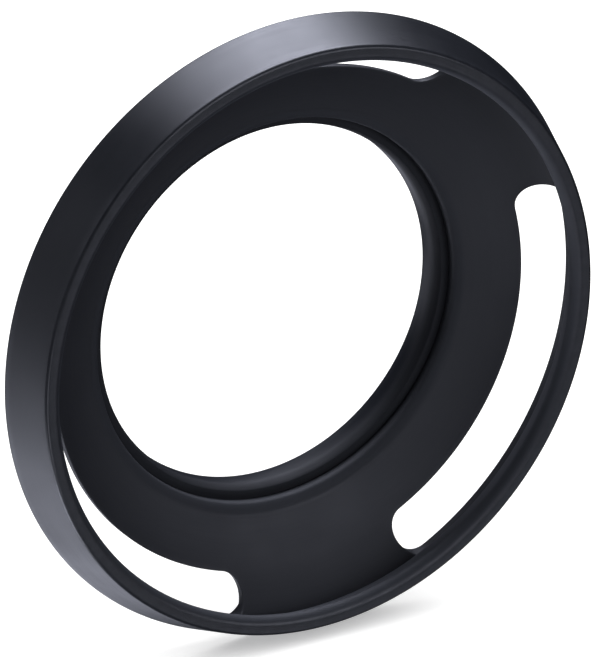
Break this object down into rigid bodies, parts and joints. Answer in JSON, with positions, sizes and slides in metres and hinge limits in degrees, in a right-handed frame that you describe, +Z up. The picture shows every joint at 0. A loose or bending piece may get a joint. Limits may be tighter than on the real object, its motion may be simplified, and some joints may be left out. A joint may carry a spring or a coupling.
{
  "type": "lens hood",
  "caption": "Shallow screw-in lens hood in black anodised aluminium: flared rim, curved dish with long arc-shaped vents, and a threaded ring for the lens",
  "frame": {"origin": "on the optical axis, in the plane where the hood seats against the front of the lens", "axes": "+Y along the optical axis from the hood towards the lens, so the open front faces -Y; +Z up, through the top vent near its middle; +X to the side"},
  "size_m": [0.0744, 0.0151, 0.0744],
  "materials": {
    "rim_anodised": "black anodised, satin",
    "dish_anodised": "black anodised, matte",
    "ring_anodised": "black anodised, satin"
  },
  "bodies": {
    "root": {"shade_rim": "rim_anodised", "vented_dish": "dish_anodised", "mount_ring": "ring_anodised"}
  },
  "joints": []
}
